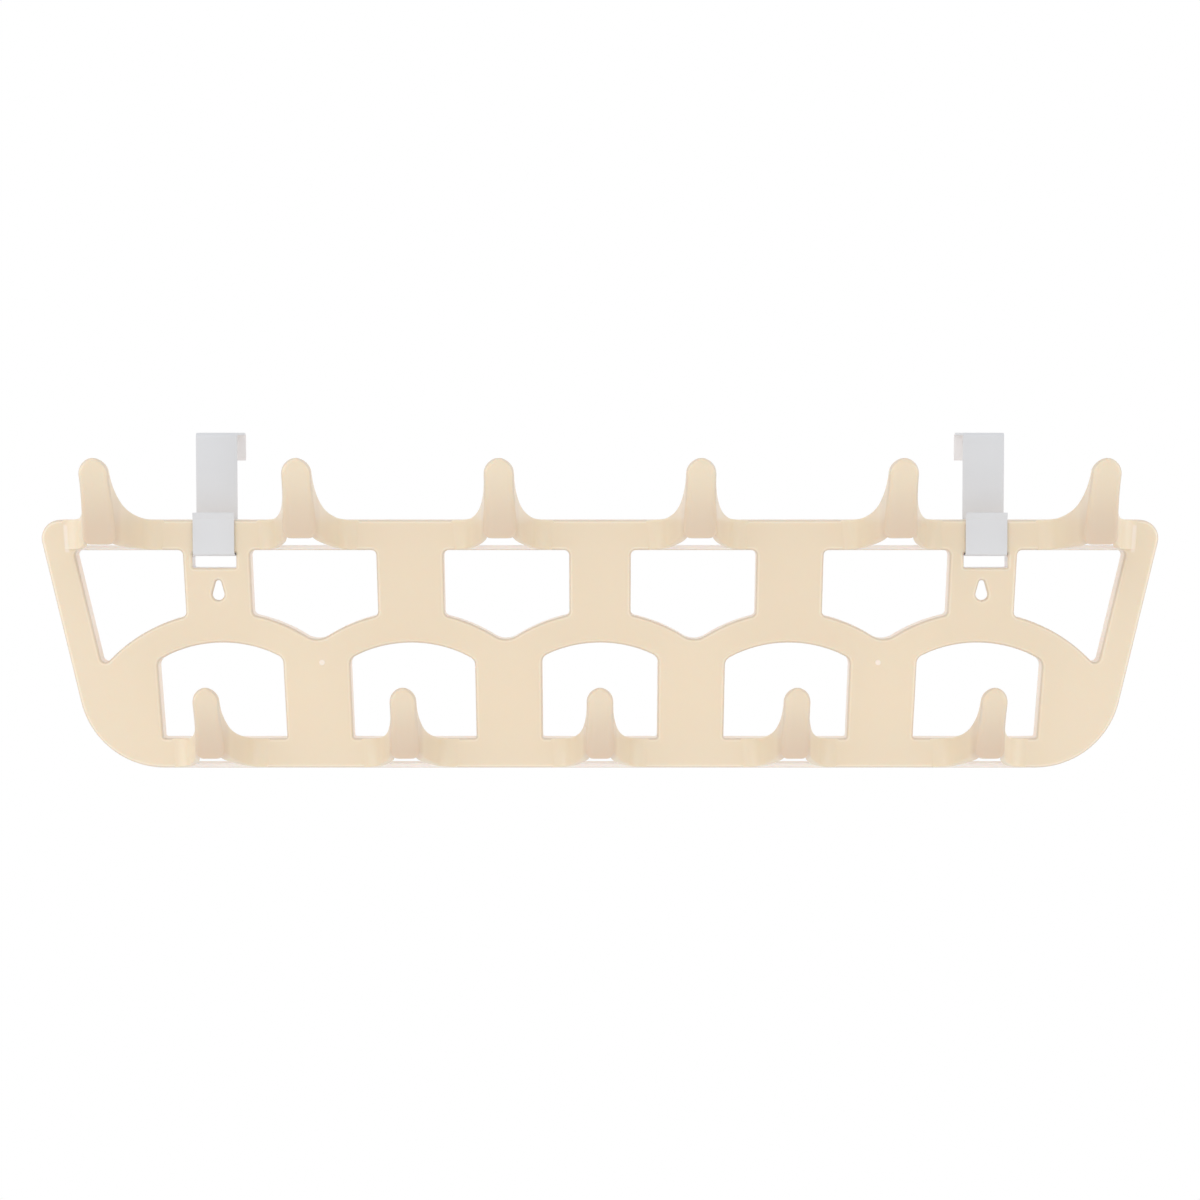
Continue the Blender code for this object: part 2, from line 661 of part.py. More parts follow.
def strip_outline(path):
    """Both sides of a strip of even thickness along an open path."""
    left, right = [], []
    for index, point in enumerate(path):
        into = point - path[index - 1] if index else path[1] - point
        out_of = path[index + 1] - point if index + 1 < len(path) else into
        into, out_of = into.normalized(), out_of.normalized()
        normal = Vector((-into.y, into.x))
        mitre = (normal + Vector((-out_of.y, out_of.x))).normalized()
        step = mitre * (STRAP_THICKNESS / 2) / mitre.dot(normal)
        left.append(point + step)
        right.append(point - step)
    return left + list(reversed(right))


def build_strap(name, side, material):
    outline = strip_outline(rounded(strap_path(), BEND_STEPS, closed=False))
    half = STRAP_WIDTH / 2
    centre = side * STRAP_PLACE
    rings = [[(centre + x, point.x, point.y) for point in outline] for x in (-half, half)]
    strap = solid(name, [lambda builder: add_loft(builder, rings)])
    strap.data.materials.append(material)
    strap.data.shade_smooth()
    strap.data.set_sharp_from_angle(angle=math.radians(SHARP_ANGLE_DEGREES))
    return strap


def main():
    clear_scene()
    ivory = plastic("ivory_plastic", (0.87, 0.73, 0.55), 0.32)
    grey = plastic("strap_grey", (0.73, 0.74, 0.75), 0.45)
    build_rack(ivory)
    build_strap("door_strap_left", -1, grey)
    build_strap("door_strap_right", 1, grey)


main()
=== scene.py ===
# %% [markdown]
# # An over-door hook rack
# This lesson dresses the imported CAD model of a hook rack: one ivory plastic moulding with eleven
# hooks, hung on two bent grey metal straps. The CAD model gives every size and place. Blender gives
# the fine curves, the finishes, the light and the camera.

import json
import math

import bmesh
import bpy
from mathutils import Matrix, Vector
from mathutils.geometry import interpolate_bezier

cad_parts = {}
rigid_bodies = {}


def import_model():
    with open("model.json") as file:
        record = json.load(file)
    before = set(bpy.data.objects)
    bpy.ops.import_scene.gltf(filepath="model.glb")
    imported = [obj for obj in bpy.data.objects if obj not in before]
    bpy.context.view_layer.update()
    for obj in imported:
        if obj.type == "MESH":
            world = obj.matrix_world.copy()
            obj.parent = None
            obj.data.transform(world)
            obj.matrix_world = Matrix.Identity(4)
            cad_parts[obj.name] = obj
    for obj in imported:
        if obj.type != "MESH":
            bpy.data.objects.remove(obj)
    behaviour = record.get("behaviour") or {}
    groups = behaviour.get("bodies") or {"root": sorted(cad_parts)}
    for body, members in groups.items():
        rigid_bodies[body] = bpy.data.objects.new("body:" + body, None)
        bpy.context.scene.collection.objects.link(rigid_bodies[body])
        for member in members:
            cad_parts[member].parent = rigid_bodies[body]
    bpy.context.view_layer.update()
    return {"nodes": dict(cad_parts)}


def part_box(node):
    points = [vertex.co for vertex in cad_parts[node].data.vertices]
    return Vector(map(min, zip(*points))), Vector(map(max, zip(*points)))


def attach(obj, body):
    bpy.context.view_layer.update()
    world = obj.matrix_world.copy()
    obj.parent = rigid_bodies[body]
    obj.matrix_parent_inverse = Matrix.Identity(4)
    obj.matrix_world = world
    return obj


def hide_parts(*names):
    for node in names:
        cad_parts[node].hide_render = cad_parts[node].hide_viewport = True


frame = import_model()
for node in sorted(frame["nodes"]):
    low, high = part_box(node)
    print(node, "from", [round(c * 1000, 1) for c in low], "to", [round(c * 1000, 1) for c in high], "mm")

# %% [markdown]
# ## Camera
# The rack is seen straight from the front, from just above the straps, by a long lens about a metre
# and a half away. The camera tilts down a little, rather than shifting its picture, because a shift
# would push the rack off centre in every other view.

# %% Camera
EYE_DISTANCE = 1.450
EYE_HEIGHT = 0.0026
FRONT_Y = -0.0135
AIM_Z = -0.0793
LENS = 90.35

tilt = math.atan2(EYE_HEIGHT - AIM_Z, EYE_DISTANCE)
bpy.ops.object.camera_add(
    location=(0.0, FRONT_Y - EYE_DISTANCE, EYE_HEIGHT), rotation=(math.pi / 2 - tilt, 0.0, 0.0))
camera = bpy.context.object
camera.data.lens = LENS
camera.data.sensor_width = 36.0
camera.data.clip_start = 0.01
bpy.context.scene.camera = camera
bpy.context.scene.view_settings.view_transform = "Standard"
print("camera tilts down", round(math.degrees(tilt), 2), "degrees")

# %% [markdown]
# ## Background and light
# The studio is white all round. The world lights the object at one level and shows the camera, and
# anything glossy, a plain white. A soft lamp above and in front gives the moulding its form. One on
# each side lights the rounded rims, and a weak one below lights the undersides.

# %% World
world = bpy.data.worlds.new("white_studio")
bpy.context.scene.world = world
world.use_nodes = True
WORLD_LIGHT = 0.85
sky = world.node_tree
path = sky.nodes.new("ShaderNodeLightPath")
background = sky.nodes["Background"]
background.inputs["Color"].default_value = (1.0, 1.0, 1.0, 1.0)


def sky_sum(operation, first, second):
    """One Math node in the world's tree."""
    node = sky.nodes.new("ShaderNodeMath")
    node.operation = operation
    for slot, item in zip(node.inputs, (first, second)):
        if isinstance(item, (int, float)):
            slot.default_value = item
        else:
            sky.links.new(item, slot)
    return node.outputs[0]


seen = sky_sum("MAXIMUM", path.outputs["Is Camera Ray"], path.outputs["Is Glossy Ray"])
seen = sky_sum("MAXIMUM", seen, path.outputs["Is Transmission Ray"])
strength = sky_sum("MULTIPLY_ADD", seen, 1.0 - WORLD_LIGHT)
strength.node.inputs[2].default_value = WORLD_LIGHT
sky.links.new(strength, background.inputs["Strength"])
print("world light", WORLD_LIGHT)

# %% Lamps


def softbox(name, place, target, size, power):
    """A square area lamp that faces a point, with its size in metres and its power in watts."""
    bpy.ops.object.light_add(type="AREA", location=place)
    lamp = bpy.context.object
    lamp.name = name
    lamp.data.size = size
    lamp.data.energy = power
    lamp.rotation_euler = (Vector(target) - Vector(place)).to_track_quat("-Z", "Y").to_euler()
    return lamp


MIDDLE = (0.0, FRONT_Y, -0.08)
softbox("key_softbox", (-0.6, -1.7, 0.7), MIDDLE, 1.4, 3.9)
softbox("left_softbox", (-1.35, -0.25, 0.0), MIDDLE, 0.8, 2.6)
softbox("right_softbox", (1.35, -0.25, 0.0), MIDDLE, 0.8, 2.6)
softbox("low_softbox", (0.0, -0.5, -0.58), MIDDLE, 0.8, 0.8)

# %% [markdown]
# ## Floor
# The rack hangs in the air, as in a catalogue picture. A plain pale floor lies so far below it that it
# catches no shadow and leaves room for a camera that looks up at the hooks.

# %% Floor
FLOOR_Z = -1.80
FLOOR_SIZE = 30.0
bpy.ops.mesh.primitive_plane_add(size=FLOOR_SIZE, location=(0.0, 0.0, FLOOR_Z))
floor = bpy.context.object
floor.name = "floor"
print("floor at", FLOOR_Z)

# %% [markdown]
# ## Shader maths
# A finish is easier to read as sums than as a web of nodes. A `Value` wraps one socket, and `+`,
# `-`, `*` and `/` on it add the Math nodes. A `Finish` is a material, and its `node` method makes
# every other kind of node.

# %% Shader helpers


class Value:
    """A socket of a shader tree that can be used in sums."""

    def __init__(self, tree, socket):
        self.tree = tree
        self.socket = socket

    def math(self, operation, *others):
        node = self.tree.nodes.new("ShaderNodeMath")
        node.operation = operation
        for slot, item in zip(node.inputs, (self, *others)):
            if isinstance(item, Value):
                self.tree.links.new(item.socket, slot)
            else:
                slot.default_value = item
        return Value(self.tree, node.outputs[0])

    def __add__(self, other):
        return self.math("ADD", other)

    def __mul__(self, other):
        return self.math("MULTIPLY", other)

    def __sub__(self, other):
        return self.math("SUBTRACT", other)

    def __truediv__(self, other):
        return self.math("DIVIDE", other)

    def __rsub__(self, other):
        return self.math("MULTIPLY_ADD", -1.0, other)

    __radd__ = __add__
    __rmul__ = __mul__


class Finish:
    """A material with one Principled shader, and the nodes that feed it."""

    def __init__(self, name):
        self.material = bpy.data.materials.new(name)
        self.material.use_nodes = True
        self.tree = self.material.node_tree
        self.shader = self.tree.nodes["Principled BSDF"]

    def node(self, kind, settings=None, output=0, **inputs):
        """Adds a node, sets it up, fills its sockets and gives one output as a Value."""
        made = self.tree.nodes.new("ShaderNode" + kind)
        for name, value in (settings or {}).items():
            setattr(made, name, value)
        for name, value in inputs.items():
            self.feed(made.inputs[name], value)
        return Value(self.tree, made.outputs[output])

    def feed(self, slot, value):
        if isinstance(value, Value):
            self.tree.links.new(value.socket, slot)
        else:
            slot.default_value = value

    def set(self, **inputs):
        """Feeds the Principled shader; underscores in the names stand for spaces."""
        for name, value in inputs.items():
            self.feed(self.shader.inputs[name.replace("_", " ")], value)

    def position(self):
        """The place on the piece, in metres, as three Values and the whole vector."""
        place = self.node("TexCoord", output="Object")
        parts = self.tree.nodes.new("ShaderNodeSeparateXYZ")
        self.tree.links.new(place.socket, parts.inputs[0])
        return [Value(self.tree, parts.outputs[axis]) for axis in "XYZ"] + [place]

    def ramp(self, value, low, high):
        """A soft step from 0 to 1 between two levels."""
        return self.node("MapRange", {"interpolation_type": "SMOOTHSTEP"},
                         Value=value, **{"From Min": low, "From Max": high})

    def mix(self, share, first, second):
        """A colour between two colours."""
        made = self.tree.nodes.new("ShaderNodeMix")
        made.data_type = "RGBA"
        self.feed(made.inputs[0], share)
        self.feed(made.inputs[6], first)
        self.feed(made.inputs[7], second)
        return Value(self.tree, made.outputs[2])


print("shader helpers ready")

# %% [markdown]
# ## Sizes of the moulding
# These are the sizes of the CAD model, in metres, and scene and CAD must agree. The scene adds only
# finer steps in the curves, rounder corners under the noses, the gate marks and the strap's bevel.

# %% Sizes of the outline and the shell
RACK_TOP = -0.0407
RACK_HEIGHT = 0.1200
RACK_FOOT = RACK_TOP - RACK_HEIGHT
RACK_HALF_WIDTH = 0.2716
SIDE_SLOPE = 0.2340
TOP_CORNER_RADIUS = 0.0089
LOWER_CORNER_RADIUS = 0.0414
BACK_Y = -0.0015
FRONT_WALL = 0.0023
SKIRT = 0.0020
EDGE_ROUND = 0.0020
UPPER_RAIL_HEIGHT = 0.0146
LOWER_RAIL_HEIGHT = 0.0144
UPPER_WINDOW_TOP = RACK_TOP - UPPER_RAIL_HEIGHT
LOWER_RAIL_TOP = RACK_FOOT + LOWER_RAIL_HEIGHT
SIDE_BAND_WIDTH = 0.01465
OVERRUN = 0.0020
print("the top corners lie", round(RACK_HALF_WIDTH * 2000, 1), "mm apart before they are rounded")

# %% Sizes of the layout
HOOK_PITCH = 0.0938
LOWER_HOOK_PITCH = 0.09165
ARCH_PITCH = 0.0911
ARCH_INNER_RADIUS = 0.0607
ARCH_OUTER_RADIUS = 0.0756
VALLEY_RADIUS = 0.0100
NARROWING = 0.0312
CENTRE_POST_HALF = 0.01495
UPPER_POSTS = ((0.0758, 0.1084), (0.1695, 0.2021))
LOWER_POSTS = ((0.0284, 0.0614), (0.1226, 0.1556))
LOWER_WINDOW_END = 0.2171
UPPER_WINDOW_CORNER = 0.0025
LOWER_WINDOW_TOP_CORNER = 0.0043
LOWER_WINDOW_FOOT_CORNER = 0.0010
STRAP_PLACE = 0.1860
SLOT_TOP = RACK_TOP - 0.0159
SLOT_HEIGHT = 0.0072
SLOT_FOOT = SLOT_TOP - SLOT_HEIGHT
SLOT_MIDDLE = SLOT_TOP - SLOT_HEIGHT / 2
SLOT_HALF_WIDTH = 0.0105
SLOT_CORNER = 0.0008
KEYHOLE_PLACE = 0.1841
KEYHOLE_HEAD_Z = RACK_TOP - 0.0359
KEYHOLE_HEAD_RADIUS = 0.0028
KEYHOLE_NECK_RADIUS = 0.00135
KEYHOLE_REACH = 0.0054
GATE_PLACE = 0.1342
GATE_Z = -0.1095
print("hooks stand", HOOK_PITCH * 1000, "mm apart")

# %% [markdown]
# ## Ivory plastic
# The rack is moulded in one warm ivory plastic with a satin gloss. The sides of the windows are
# painted pinker and paler than the broad face, a painted glow in place of light coming through the
# thin walls. The arms and lower fronts of the hooks carry painted shade, deeper towards the nose and
# the bottom. The polish of the mould is a little uneven, which shows in the gloss, and the colour clouds
# very slightly. The limits of a ramp are metres, or for `facing` and `upward` the part of the surface's
# direction along an axis.

# %% Ivory plastic finish
IVORY = (0.845, 0.730, 0.560, 1.0)
IVORY_DEEP = (0.815, 0.693, 0.525, 1.0)
IVORY_SIDE_PAINTED_GLOW = (0.96, 0.82, 0.71, 1.0)
IVORY_NOSE_PAINTED_SHADE = (0.705, 0.560, 0.425, 1.0)
IVORY_GATE_AND_PAINTED_LIGHT = (1.0, 0.93, 0.90, 1.0)
IVORY_RIM_PAINTED_SHADE = (0.690, 0.600, 0.505, 1.0)
IVORY_PAINTED_HIGHLIGHT = (0.920, 0.815, 0.670, 1.0)
SILL_PAINTED_GLOW = (1.0, 0.95, 0.95, 1.0)
UNLIT = (0.0, 0.0, 0.0, 1.0)
ROW_BORDER = -0.1000

ivory = Finish("ivory_plastic")
x, y, z, place = ivory.position()
cloud = ivory.node("TexNoise", Vector=place, Scale=9.0, Detail=2.0)
colour = ivory.mix(cloud * 0.5, IVORY, IVORY_DEEP)
normal = ivory.node("TexCoord", output="Normal")
facing = ivory.node("SeparateXYZ", output="Y", Vector=normal)
upward = ivory.node("SeparateXYZ", output="Z", Vector=normal)
# Painted glow: the sides of the windows are made paler and pinker, in place of light through the thin
# walls.
side = ivory.ramp(y, FRONT_Y + 0.0004, FRONT_Y + 0.0030) * ivory.ramp(facing, 0.8, 0.4)
colour = ivory.mix(side * 0.8, colour, IVORY_SIDE_PAINTED_GLOW)
lower_row = ivory.ramp(z, ROW_BORDER, ROW_BORDER - 0.0010)
level = z - RACK_TOP + lower_row * (RACK_TOP - LOWER_RAIL_TOP)
# Painted shade: the hooks' arms and lower fronts are darker towards the nose and the bottom.
outward = ivory.ramp(y, FRONT_Y - 0.026, FRONT_Y - 0.040)
low = ivory.ramp(level, 0.025, -0.006)
nose = outward * (0.06 + 0.80 * low + 0.18 * lower_row)
arm_painted_shade = ivory.ramp(y, FRONT_Y - 0.006, FRONT_Y - 0.026) * low * (0.30 - 0.08 * lower_row)
colour = ivory.mix(nose.math("MAXIMUM", arm_painted_shade), colour, IVORY_NOSE_PAINTED_SHADE)
print("ivory plastic is pale at the sides and deep at the noses")

# %% [markdown]
# A thin, slightly greyer line on every rounded edge is painted shade, and a paler one just inside it
# is a painted highlight. On the frame the lines follow the depth of the rounding, and on the
# fingers they follow the direction in which the surface faces.

# %% Lines along the edges
rounding = y - FRONT_Y
# Painted shade: a thin greyer line along each rounded edge of the frame, left off round the slots.
rim_painted_shade = ivory.ramp(rounding, 0.00035, 0.00065) * ivory.ramp(rounding, 0.0028, 0.0020)
rim_painted_shade = rim_painted_shade * ivory.ramp(facing, 0.5, 0.2)
beside = (x.math("ABSOLUTE") - STRAP_PLACE).math("ABSOLUTE")
above = (z - SLOT_MIDDLE).math("ABSOLUTE")
slot_round = ivory.ramp(beside, 0.0140, 0.0130) * ivory.ramp(above, 0.0068, 0.0060)
rim_painted_shade = rim_painted_shade * (1 - slot_round)
# Painted highlight: a paler line just inside each rounded edge.
rim_painted_highlight = ivory.ramp(rounding, 0.00003, 0.00010) * ivory.ramp(rounding, 0.00050, 0.00035)
finger = ivory.ramp(y, FRONT_Y - 0.030, FRONT_Y - 0.038) * ivory.ramp(level, 0.004, 0.016)
# Painted shade along the rounded edges of the fingers.
finger_painted_shade = finger * ivory.ramp(facing, -0.68, -0.52) * ivory.ramp(facing, -0.08, -0.24)
colour = ivory.mix(rim_painted_highlight * 0.6, colour, IVORY_PAINTED_HIGHLIGHT)
colour = ivory.mix(rim_painted_shade.math("MAXIMUM", finger_painted_shade) * 0.68, colour, IVORY_RIM_PAINTED_SHADE)
print("edge lines added")

# %% [markdown]
# Some small places are paler still. Two round gate marks are the moulding's own. The rest is painted
# light: the rail's lower edge behind each hook, which daylight reaches only through the plastic, and
# the walls of the strap slots are painted paler, and a faint upright streak at each end of the upper
# rail, where it runs into the slanted side, is a painted highlight. The rail's edge behind a hook also
# has a painted glow, a faint emission in place of daylight through thin plastic.

# %% Pale places
SILL_DROP = 0.0138
SILL_DEPTH = 0.0030
CREASE_PLACE = 0.2571
CREASE_Z = -0.0497
CREASE_LEAN = 0.07

upper_gap = ((x / HOOK_PITCH).math("FRACT") - 0.5).math("ABSOLUTE") * HOOK_PITCH
lower_gap = ((x / LOWER_HOOK_PITCH + 0.5).math("FRACT") - 0.5).math("ABSOLUTE") * LOWER_HOOK_PITCH
gap = upper_gap + lower_row * (lower_gap - upper_gap)
# Painted light: the rail's lower edge behind each hook is made paler, and below it also glows.
behind = ivory.ramp(gap, 0.0190, 0.0150) * ivory.ramp((level + SILL_DROP).math("ABSOLUTE"), 0.0033, 0.0016)
behind = behind * ivory.ramp((rounding - SILL_DEPTH).math("ABSOLUTE"), 0.0042, 0.0032)
behind = behind * ivory.ramp(upward, -0.92, -0.70)
# Painted light on the walls of the strap slots.
slot_wall_painted_light = ivory.ramp(beside, 0.0125, 0.0115) * ivory.ramp(above, 0.0055, 0.0045) * side
across = x.math("ABSOLUTE") - GATE_PLACE
up = z - GATE_Z
# The gate marks are the moulding's own paler marks.
gate = ivory.ramp((across * across + up * up).math("SQRT"), 0.00150, 0.00115) * 0.6
# Painted highlight: a faint upright streak at each end of the upper rail.
rise = z - CREASE_Z
crease_painted_highlight = (x.math("ABSOLUTE") - CREASE_PLACE - CREASE_LEAN * rise).math("ABSOLUTE")
crease_painted_highlight = ivory.ramp(crease_painted_highlight, 0.0014, 0.0005) * ivory.ramp(rise.math("ABSOLUTE"), 0.0072, 0.0058) * 0.35
# This pale colour is the gate marks' own colour and, everywhere else, painted light.
pale = behind.math("MAXIMUM", slot_wall_painted_light).math("MAXIMUM", gate).math("MAXIMUM", crease_painted_highlight)
ivory.set(Base_Color=ivory.mix(pale, colour, IVORY_GATE_AND_PAINTED_LIGHT))
# Painted glow: a faint emission on the rail's edge behind each hook, with no lamp there.
ivory.set(Emission_Color=ivory.mix(behind, UNLIT, SILL_PAINTED_GLOW), Emission_Strength=0.10)
ivory.set(Subsurface_Weight=0.25, Subsurface_Radius=(1.0, 0.6, 0.4), Subsurface_Scale=0.0025)
print("ivory plastic has", len(ivory.tree.nodes), "nodes so far")

# %% Ivory gloss
polish = ivory.node("TexNoise", Vector=place, Scale=60.0, Detail=3.0)
ivory.set(Roughness=0.27 + polish * 0.10)
grain = ivory.node("TexNoise", Vector=place, Scale=900.0, Detail=2.0)
bump = ivory.node("Bump", output="Normal", Strength=0.10, Distance=0.00012, Height=grain)
ivory.set(Normal=bump)
ivory.set(IOR=1.49)
print("ivory plastic has", len(ivory.tree.nodes), "nodes")

# %% [markdown]
# ## Strap enamel
# The straps are strip steel in a light grey enamel. It is duller than the plastic, slightly cool, and
# has a fine orange peel. The tab behind the door, the J, and the strip just above the J are painted
# paler, as painted light in place of the shade that falls on them.

# %% Strap enamel finish
ENAMEL = (0.675, 0.687, 0.714, 1.0)
ENAMEL_CLOUD_AND_PAINTED_LIGHT = (0.745, 0.755, 0.780, 1.0)
ENAMEL_TAB_PAINTED_LIGHT = (0.945, 0.930, 0.945, 1.0)

enamel = Finish("strap_grey")
x, y, z, place = enamel.position()
cloud = enamel.node("TexNoise", Vector=place, Scale=30.0, Detail=2.0)
# Random cloud in the coat, and painted light that makes the J paler.
colour = enamel.mix(cloud * 0.5 + 0.5 * enamel.ramp(y, -0.0120, -0.0140), ENAMEL, ENAMEL_CLOUD_AND_PAINTED_LIGHT)
# Painted light on the strip just above the J, where shade falls between strip and J.
strip_painted_light = enamel.ramp(z, -0.0160, -0.0370) * enamel.ramp(y, -0.0100, -0.0060)
colour = enamel.mix(strip_painted_light, colour, ENAMEL_CLOUD_AND_PAINTED_LIGHT)
# Painted light on the tab behind the door, which lies in the shade of the strap's top.
colour = enamel.mix(enamel.ramp(y, 0.0300, 0.0340), colour, ENAMEL_TAB_PAINTED_LIGHT)
enamel.set(Base_Color=colour)
polish = enamel.node("TexNoise", Vector=place, Scale=140.0, Detail=2.0)
enamel.set(Roughness=0.36 + polish * 0.12)
peel = enamel.node("TexNoise", Vector=place, Scale=1100.0, Detail=1.0)
bump = enamel.node("Bump", output="Normal", Strength=0.12, Distance=0.00008, Height=peel)
enamel.set(Normal=bump)
print("strap enamel has", len(enamel.tree.nodes), "nodes")

# %% [markdown]
# ## Dressing the floor
# The floor answers the camera with white and everything else with pale grey.

# %% Floor finish
ground = Finish("pale_floor")
ground.set(Base_Color=(0.90, 0.90, 0.90, 1.0), Roughness=0.8)
glow = ground.tree.nodes.new("ShaderNodeEmission")
glow.inputs["Color"].default_value = (1.0, 1.0, 1.0, 1.0)
look = ground.tree.nodes.new("ShaderNodeLightPath")
blend = ground.tree.nodes.new("ShaderNodeMixShader")
out = ground.tree.nodes["Material Output"]
ground.tree.links.new(look.outputs["Is Camera Ray"], blend.inputs[0])
ground.tree.links.new(ground.shader.outputs[0], blend.inputs[1])
ground.tree.links.new(glow.outputs[0], blend.inputs[2])
ground.tree.links.new(blend.outputs[0], out.inputs["Surface"])
floor.data.materials.append(ground.material)
print("floor dressed")

# %% [markdown]
# ## Tools for shaping
# Every solid here is drawn in the same way as by hand. A circle is added with as many vertices as
# the outline needs and filled. Its face is extruded again and again, and each new ring is put in its
# place. What was modelled once is copied with its own mesh, and Booleans join and cut the solids.

# %% Hand tools


def only(item):
    """Deselects everything but one object and makes it active."""
    for other in bpy.context.view_layer.objects:
        other.select_set(False)
    item.select_set(True)
    bpy.context.view_layer.objects.active = item


def keep_last(rings, previous):
    """Puts the ring that was just extruded in its place, matching it to the ring it came from."""
    builder = bmesh.from_edit_mesh(bpy.context.edit_object.data)
    order = {tuple(round(c, 6) for c in point): index for index, point in enumerate(previous)}
    for vertex in (v for v in builder.verts if v.select):
        vertex.co = rings[order[tuple(round(c, 6) for c in vertex.co)]]
    bmesh.update_edit_mesh(bpy.context.edit_object.data)


def extruded(name, rings):
    """A closed solid: a filled circle on the first ring, extruded through all the others."""
    bpy.ops.mesh.primitive_circle_add(vertices=len(rings[0]), radius=1.0, fill_type="NGON")
    item = bpy.context.object
    item.name = name
    for vertex, point in zip(item.data.vertices, rings[0]):
        vertex.co = point
    bpy.ops.object.mode_set(mode="EDIT")
    bpy.ops.mesh.select_mode(type="FACE")
    bpy.ops.mesh.select_all(action="SELECT")
    for previous, ring in zip(rings, rings[1:]):
        bpy.ops.mesh.extrude_region()
        keep_last(ring, previous)
    bpy.ops.mesh.select_all(action="SELECT")
    bpy.ops.mesh.normals_make_consistent(inside=False)
    bpy.ops.object.mode_set(mode="OBJECT")
    return item


def copied(item, name, shift=0.0, mirror=False):
    """A copy with its own mesh, moved along X or mirrored about the middle of the rack."""
    only(item)
    bpy.ops.object.duplicate()
    twin = bpy.context.object
    twin.name = name
    if mirror:
        bpy.ops.transform.resize(value=(-1.0, 1.0, 1.0), center_override=(0.0, 0.0, 0.0))
    bpy.ops.transform.translate(value=(shift, 0.0, 0.0))
    bpy.ops.object.transform_apply(location=True, rotation=True, scale=True)
    if mirror:
        bpy.ops.object.mode_set(mode="EDIT")
        bpy.ops.mesh.select_all(action="SELECT")
        bpy.ops.mesh.normals_make_consistent(inside=False)
        bpy.ops.object.mode_set(mode="OBJECT")
    return twin


def joined(items):
    """Puts separate solids into one object, to cut or add them in one go."""
    only(items[0])
    for item in items:
        item.select_set(True)
    bpy.ops.object.join()
    return bpy.context.object


def carve(target, tool, operation="DIFFERENCE"):
    """Applies an exact Boolean, then throws the tool away."""
    only(target)
    cutter = target.modifiers.new("carve", "BOOLEAN")
    cutter.operation = operation
    cutter.solver = "EXACT"
    cutter.object = tool
    bpy.ops.object.modifier_apply(modifier="carve")
    bpy.data.objects.remove(tool, do_unlink=True)


print("hand tools ready")

# %% [markdown]
# ## Outlines
# An outline is a list of corners, each with a radius, and one helper turns every radius into an arc.
# A second helper moves an outline in or out by a distance, which gives rounded rims and skirts of
# even thickness.

# %% Outline helpers
RACK_CORNER_STEPS = 24
CORNER_STEPS = 8
ARCH_STEPS = 28
RIM_STEPS = 6


def arc(centre_x, centre_z, radius, start, end, steps):
    """Corners without a radius along a circle."""
    corners = []
    for step in range(steps + 1):
        angle = start + (end - start) * step / steps
        corners.append((centre_x + radius * math.cos(angle), centre_z + radius * math.sin(angle), 0.0))
    return corners


def rounded(corners, steps=CORNER_STEPS, closed=True):
    """Points through the corners, each corner with a radius turned into an arc."""
    points = []
    for index, (across, up, radius) in enumerate(corners):
        corner = Vector((across, up))
        at_end = not closed and index in (0, len(corners) - 1)
        if radius == 0.0 or at_end:
            points.append(corner)
            continue
        before = (Vector(corners[index - 1][:2]) - corner).normalized()
        after = (Vector(corners[(index + 1) % len(corners)][:2]) - corner).normalized()
        half_angle = before.angle(after) / 2
        centre = corner + (before + after).normalized() * radius / math.sin(half_angle)
        run = radius / math.tan(half_angle)
        first = corner + before * run - centre
        turn = first.angle_signed(corner + after * run - centre)
        for step in range(steps + 1):
            angle = -turn * step / steps
            cosine, sine = math.cos(angle), math.sin(angle)
            spoke = Vector((first.x * cosine - first.y * sine, first.x * sine + first.y * cosine))
            points.append(centre + spoke)
    return points


def grown(points, distance):
    """The outline moved outwards by a distance, or inwards where it is negative."""
    area = sum(a.cross(b) for a, b in zip(points, points[1:] + points[:1]))
    side = 1.0 if area > 0 else -1.0
    moved = []
    for index, point in enumerate(points):
        into = (point - points[index - 1]).normalized()
        out_of = (points[(index + 1) % len(points)] - point).normalized()
        normal_in = Vector((into.y, -into.x)) * side
        mitre = (normal_in + Vector((out_of.y, -out_of.x)) * side).normalized()
        moved.append(point + mitre * distance / mitre.dot(normal_in))
    return moved


def slab(name, points, stations):
    """A solid along Y; each station is a place on Y and how far the outline has grown there."""
    rings = []
    for depth, growth in stations:
        outline = grown(points, growth) if growth else points
        rings.append([Vector((point.x, depth, point.y)) for point in outline])
    return extruded(name, rings)


def rim(direction):
    """Stations that round a front edge: the outline draws in (-1) or flares out (+1)."""
    stations = []
    for step in range(RIM_STEPS + 1):
        angle = math.pi / 2 * step / RIM_STEPS
        depth = FRONT_Y + EDGE_ROUND * (1 - math.sin(angle))
        stations.append((depth, direction * EDGE_ROUND * (1 - math.cos(angle))))
    return stations


def narrowed(across, up):
    """The layout draws in towards the middle as it goes down."""
    return across * (1 - NARROWING * (RACK_TOP - up) / RACK_HEIGHT)


def side_x(up):
    return RACK_HALF_WIDTH - SIDE_SLOPE * (RACK_TOP - up)


def arch_z(across, centre, radius):
    return RACK_FOOT + math.sqrt(radius ** 2 - (across - centre) ** 2)


print("outline helpers ready")

# %% Outline of the rack
top_x, foot_x = side_x(RACK_TOP), side_x(RACK_FOOT)
right = [(top_x, RACK_TOP, TOP_CORNER_RADIUS), (foot_x, RACK_FOOT, LOWER_CORNER_RADIUS)]
left = [(-across, up, radius) for across, up, radius in reversed(right)]
rack_outline = rounded(right + left, RACK_CORNER_STEPS)
print("rack outline has", len(rack_outline), "points")

